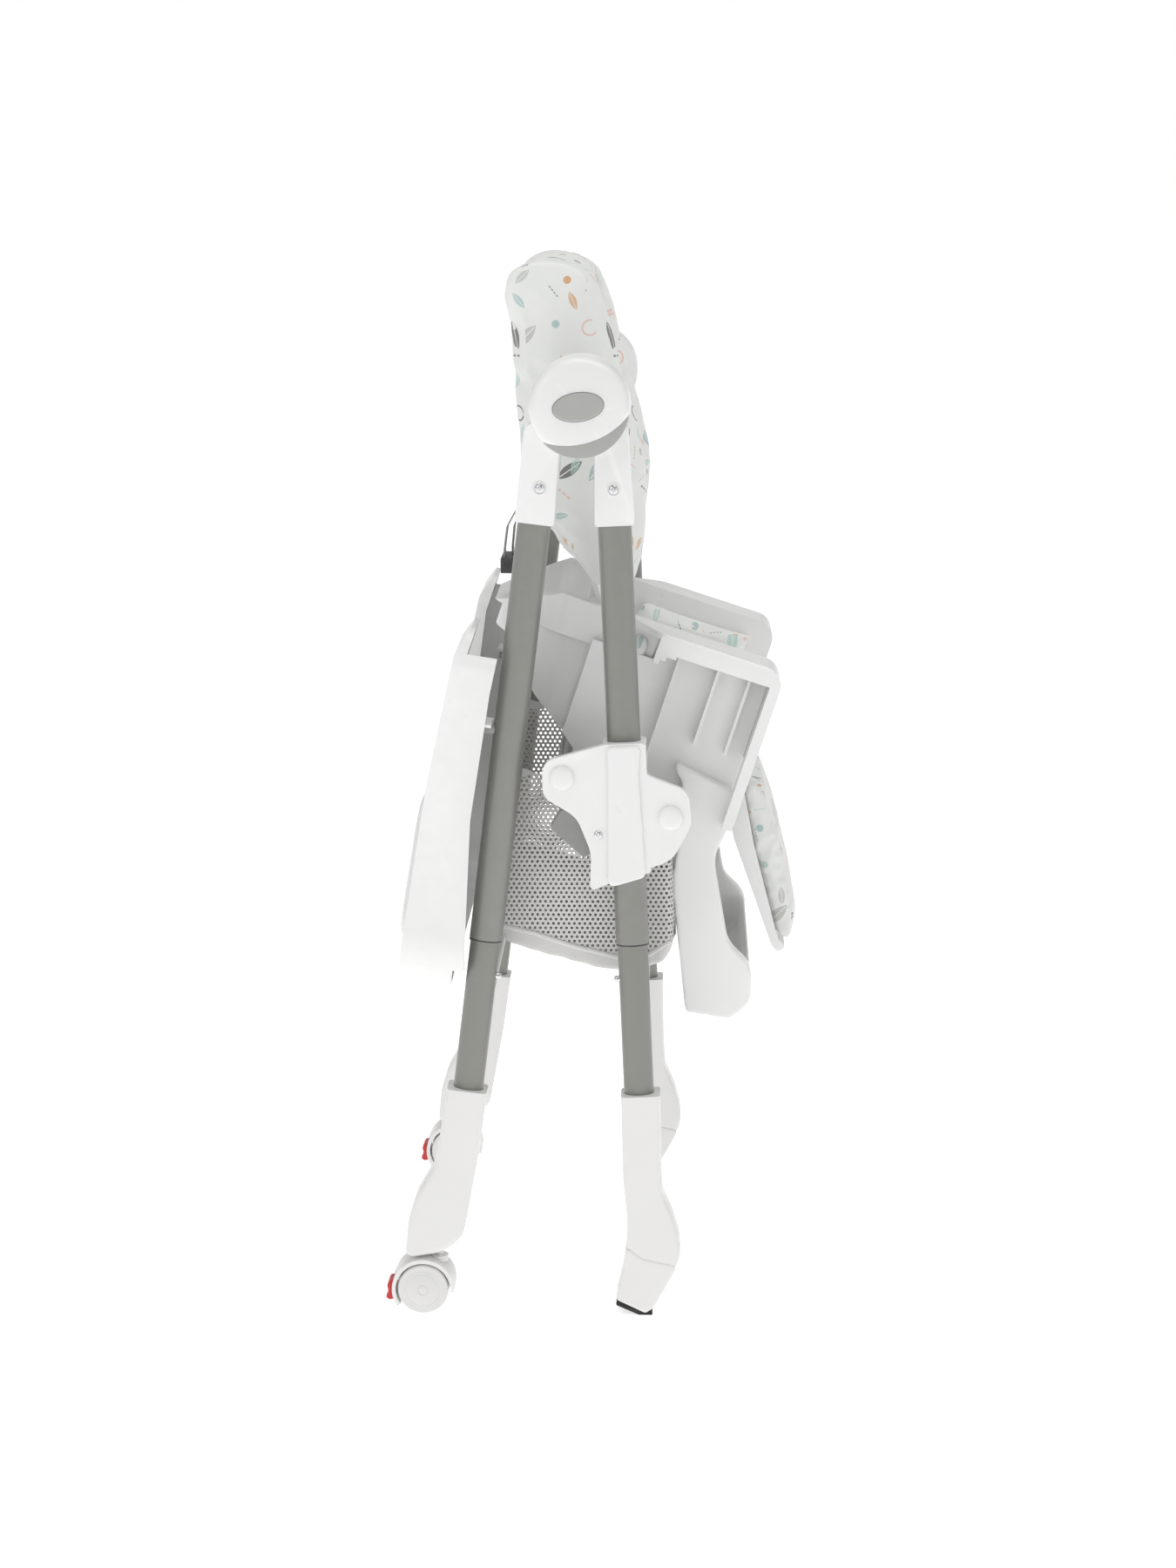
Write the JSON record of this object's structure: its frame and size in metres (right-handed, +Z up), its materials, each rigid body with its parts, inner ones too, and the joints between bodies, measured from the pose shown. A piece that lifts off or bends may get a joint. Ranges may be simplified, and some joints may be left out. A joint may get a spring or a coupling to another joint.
{
  "type": "baby high chair",
  "caption": "Folding baby high chair standing folded: leg pairs with round hubs and castors, padded reclining seat, armrests, legrest, footrest, mesh basket and stored tray.",
  "frame": {"origin": "middle of the bounding box, on the floor", "axes": "+X the way the child faces, +Y the child's left, +Z up"},
  "size_m": [0.4232, 0.556, 1.0793],
  "materials": {
    "white_plastic": "satin gloss moulded plastic",
    "wheel_white": "satin moulded plastic",
    "frame_grey": "satin paint on steel tube",
    "grey_plastic": "fine matte moulded plastic",
    "bright_steel": "bright plated steel",
    "dark_rubber": "matte ribbed rubber",
    "red_plastic": "gloss moulded plastic",
    "printed_fabric": "wipe clean cloth with small scattered motifs",
    "mesh_fabric": "open knitted mesh",
    "webbing": "woven tape",
    "black_plastic": "matte moulded plastic"
  },
  "bodies": {
    "front_frame": {"front_upper_tube_right": "frame_grey", "front_lower_tube_right": "frame_grey", "front_foot_right": "white_plastic", "hub_housing_right": "white_plastic", "hub_cover_right": "white_plastic", "front_upper_tube_left": "frame_grey", "front_lower_tube_left": "frame_grey", "front_foot_left": "white_plastic", "hub_housing_left": "white_plastic", "hub_cover_left": "white_plastic", "front_foot_soles": "dark_rubber", "hub_trims": "grey_plastic", "hub_pins": "bright_steel", "front_socket_screws": "bright_steel", "front_crossbar": "frame_grey"},
    "rear_frame": {"rear_upper_tube_right": "frame_grey", "rear_lower_tube_right": "frame_grey", "rear_foot_right": "white_plastic", "rear_socket_right": "white_plastic", "rear_upper_tube_left": "frame_grey", "rear_lower_tube_left": "frame_grey", "rear_foot_left": "white_plastic", "rear_socket_left": "white_plastic", "rear_socket_screws": "bright_steel", "rear_crossbar": "frame_grey", "tray_pegs": "grey_plastic"},
    "carriage": {"height_bracket_right": "white_plastic", "height_bracket_left": "white_plastic", "bracket_caps": "white_plastic", "bracket_screws": "bright_steel", "seat_crossbars": "bright_steel", "seat_shell": "white_plastic", "seat_pad": "printed_fabric", "crotch_strap": "webbing", "harness_buckle": "black_plastic", "basket": "mesh_fabric"},
    "backrest": {"backrest_shell": "white_plastic", "backrest_pad": "printed_fabric", "harness_straps": "webbing", "strap_adjuster": "black_plastic"},
    "legrest": {"legrest_panel": "white_plastic", "legrest_pad": "printed_fabric"},
    "footrest": {"footrest": "white_plastic"},
    "stored_tray": {"tray": "white_plastic", "tray_insert": "white_plastic"},
    "recline_lever": {"recline_handle": "grey_plastic"},
    "fold_button_right": {"fold_button_right": "grey_plastic"},
    "front_snap_right": {"front_snap_button_right": "bright_steel"},
    "rear_snap_right": {"rear_snap_button_right": "bright_steel"},
    "caster_right": {"caster_hood_right": "white_plastic"},
    "wheels_right": {"caster_wheels_right": "wheel_white"},
    "brake_right": {"brake_lever_right": "red_plastic"},
    "height_trigger_right": {"height_trigger_right": "grey_plastic"},
    "fold_button_left": {"fold_button_left": "grey_plastic"},
    "front_snap_left": {"front_snap_button_left": "bright_steel"},
    "rear_snap_left": {"rear_snap_button_left": "bright_steel"},
    "caster_left": {"caster_hood_left": "white_plastic"},
    "wheels_left": {"caster_wheels_left": "wheel_white"},
    "brake_left": {"brake_lever_left": "red_plastic"},
    "height_trigger_left": {"height_trigger_left": "grey_plastic"}
  },
  "joints": [
    {"name": "rear_fold", "type": "hinge", "parent": "front_frame", "child": "rear_frame", "pos_m": [-0.0055, 0, 0.942], "axis": [0, 1, 0], "range_deg": [0, 31]},
    {"name": "height_slide", "type": "slide", "parent": "front_frame", "child": "carriage", "axis": [-0.0447, 0, 0.999], "range_m": [0, 0.17]},
    {"name": "backrest_recline", "type": "hinge", "parent": "carriage", "child": "backrest", "pos_m": [0.004, 0, 0.728], "axis": [0, 1, 0], "range_deg": [-15, 12]},
    {"name": "legrest_tilt", "type": "hinge", "parent": "carriage", "child": "legrest", "pos_m": [0.154, 0, 0.525], "axis": [0, 1, 0], "range_deg": [-60, 0]},
    {"name": "footrest_tilt", "type": "hinge", "parent": "carriage", "child": "footrest", "pos_m": [0.109, 0, 0.556], "axis": [0, 1, 0], "range_deg": [-30, 0]},
    {"name": "tray_lift", "type": "slide", "parent": "rear_frame", "child": "stored_tray", "axis": [0.1193, 0, 0.9929], "range_m": [0, 0.06]},
    {"name": "recline_lever_pull", "type": "slide", "parent": "backrest", "child": "recline_lever", "axis": [-0.0995, 0, 0.995], "range_m": [0, 0.008], "stiffness_N_per_m": 300},
    {"name": "front_snap_press_right", "type": "slide", "parent": "front_frame", "child": "front_snap_right", "axis": [0.999, 0, 0.0447], "range_m": [0, 0.004], "stiffness_N_per_m": 800},
    {"name": "rear_snap_press_right", "type": "slide", "parent": "rear_frame", "child": "rear_snap_right", "axis": [-0.9929, 0, 0.1193], "range_m": [0, 0.004], "stiffness_N_per_m": 800},
    {"name": "fold_button_press_right", "type": "slide", "parent": "front_frame", "child": "fold_button_right", "axis": [0, 1, 0], "range_m": [0, 0.004], "stiffness_N_per_m": 600},
    {"name": "height_trigger_pull_right", "type": "slide", "parent": "carriage", "child": "height_trigger_right", "axis": [-0.0447, 0, 0.999], "range_m": [0, 0.006], "stiffness_N_per_m": 500},
    {"name": "caster_swivel_right", "type": "hinge", "parent": "rear_frame", "child": "caster_right", "pos_m": [-0.153, -0.22, 0.08], "axis": [0, 0, 1], "continuous": true},
    {"name": "wheel_spin_right", "type": "hinge", "parent": "caster_right", "child": "wheels_right", "pos_m": [-0.1695, -0.22, 0.0265], "axis": [0, 1, 0], "continuous": true},
    {"name": "brake_flip_right", "type": "hinge", "parent": "caster_right", "child": "brake_right", "pos_m": [-0.1999, -0.22, 0.033], "axis": [0, 1, 0], "range_deg": [0, 25]},
    {"name": "front_snap_press_left", "type": "slide", "parent": "front_frame", "child": "front_snap_left", "axis": [0.999, 0, 0.0447], "range_m": [0, 0.004], "stiffness_N_per_m": 800},
    {"name": "rear_snap_press_left", "type": "slide", "parent": "rear_frame", "child": "rear_snap_left", "axis": [-0.9929, 0, 0.1193], "range_m": [0, 0.004], "stiffness_N_per_m": 800},
    {"name": "fold_button_press_left", "type": "slide", "parent": "front_frame", "child": "fold_button_left", "axis": [0, -1, 0], "range_m": [0, 0.004], "stiffness_N_per_m": 600},
    {"name": "height_trigger_pull_left", "type": "slide", "parent": "carriage", "child": "height_trigger_left", "axis": [-0.0447, 0, 0.999], "range_m": [0, 0.006], "stiffness_N_per_m": 500},
    {"name": "caster_swivel_left", "type": "hinge", "parent": "rear_frame", "child": "caster_left", "pos_m": [-0.153, 0.22, 0.08], "axis": [0, 0, 1], "continuous": true},
    {"name": "wheel_spin_left", "type": "hinge", "parent": "caster_left", "child": "wheels_left", "pos_m": [-0.1695, 0.22, 0.0265], "axis": [0, 1, 0], "continuous": true},
    {"name": "brake_flip_left", "type": "hinge", "parent": "caster_left", "child": "brake_left", "pos_m": [-0.1999, 0.22, 0.033], "axis": [0, 1, 0], "range_deg": [0, 25]}
  ],
  "couplings": [
    {"joint": "footrest_tilt", "follows": "legrest_tilt", "ratio": 0.5}
  ]
}
